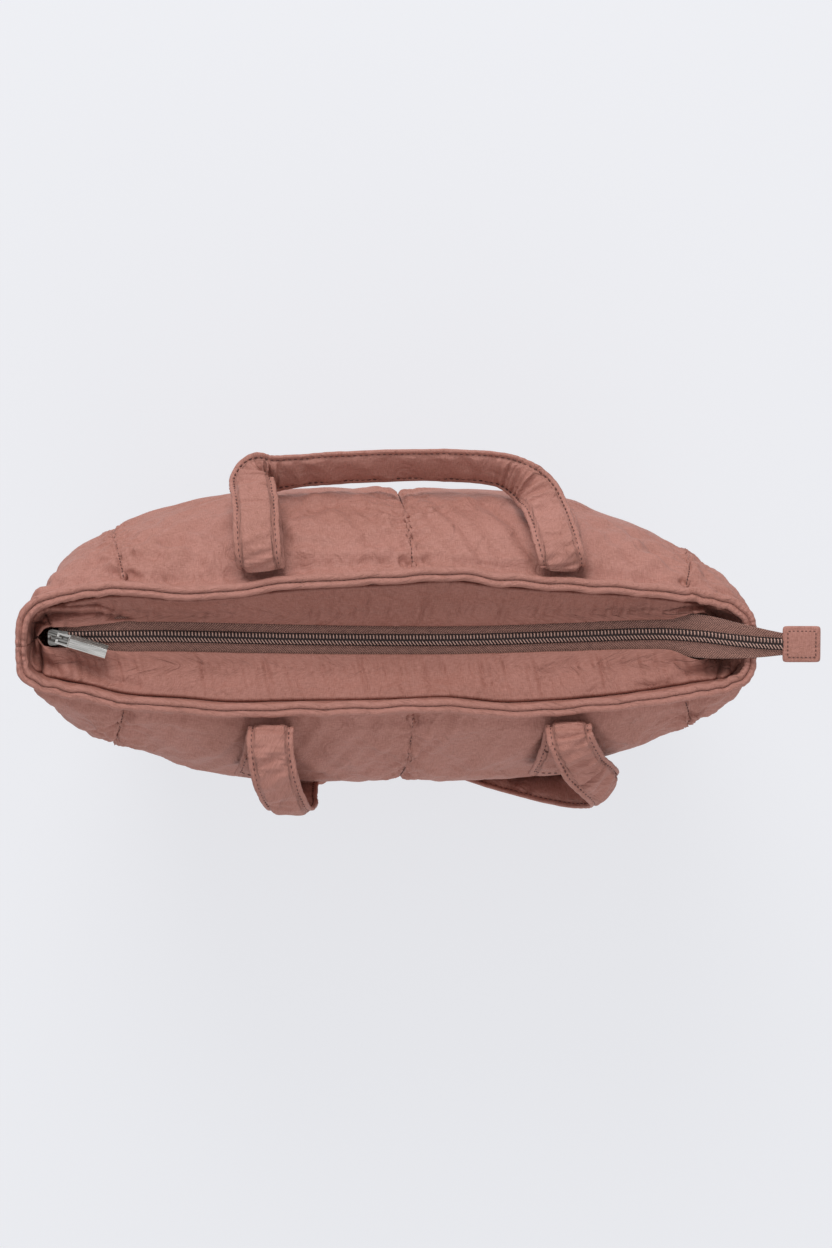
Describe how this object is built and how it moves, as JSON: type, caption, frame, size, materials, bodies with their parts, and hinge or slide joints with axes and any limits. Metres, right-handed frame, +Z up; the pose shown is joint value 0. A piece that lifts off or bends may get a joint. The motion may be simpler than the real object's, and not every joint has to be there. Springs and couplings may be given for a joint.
{
  "type": "puffer tote bag",
  "caption": "Quilted, padded tote bag that stands on a flat base, with a bound rim, a sunken zip closure whose free end reaches over the rim, and two padded strap handles.",
  "frame": {"origin": "middle of the flat base, on the surface that the bag stands on", "axes": "+X along the mouth towards the zip's free end, +Y to the back, whose handle has flopped over it, +Z up"},
  "size_m": [0.4783, 0.2254, 0.3266],
  "materials": {
    "shell_cloth": "soft matt woven nylon",
    "zip_tape": "matt woven tape",
    "zip_teeth": "satin nylon coil",
    "zip_metal": "polished nickel plating"
  },
  "bodies": {
    "bag": {"front_left_panel": "shell_cloth", "front_right_panel": "shell_cloth", "back_left_panel": "shell_cloth", "back_right_panel": "shell_cloth", "base_panel": "shell_cloth", "rim_binding": "shell_cloth", "front_facing": "shell_cloth", "back_facing": "shell_cloth", "front_zip_tape": "zip_tape", "back_zip_tape": "zip_tape", "front_zip_coil": "zip_teeth", "back_zip_coil": "zip_teeth", "zip_slider": "zip_metal", "zip_end_tab": "shell_cloth", "front_handle": "shell_cloth", "back_handle": "shell_cloth"},
    "pull": {"zip_pull": "zip_metal"}
  },
  "joints": [
    {"name": "zip_pull_hinge", "type": "hinge", "parent": "bag", "child": "pull", "pos_m": [-0.19548, 0.00494, 0.31386], "axis": [-0.2924, -0.9563, 0], "range_deg": [0, 120]}
  ]
}
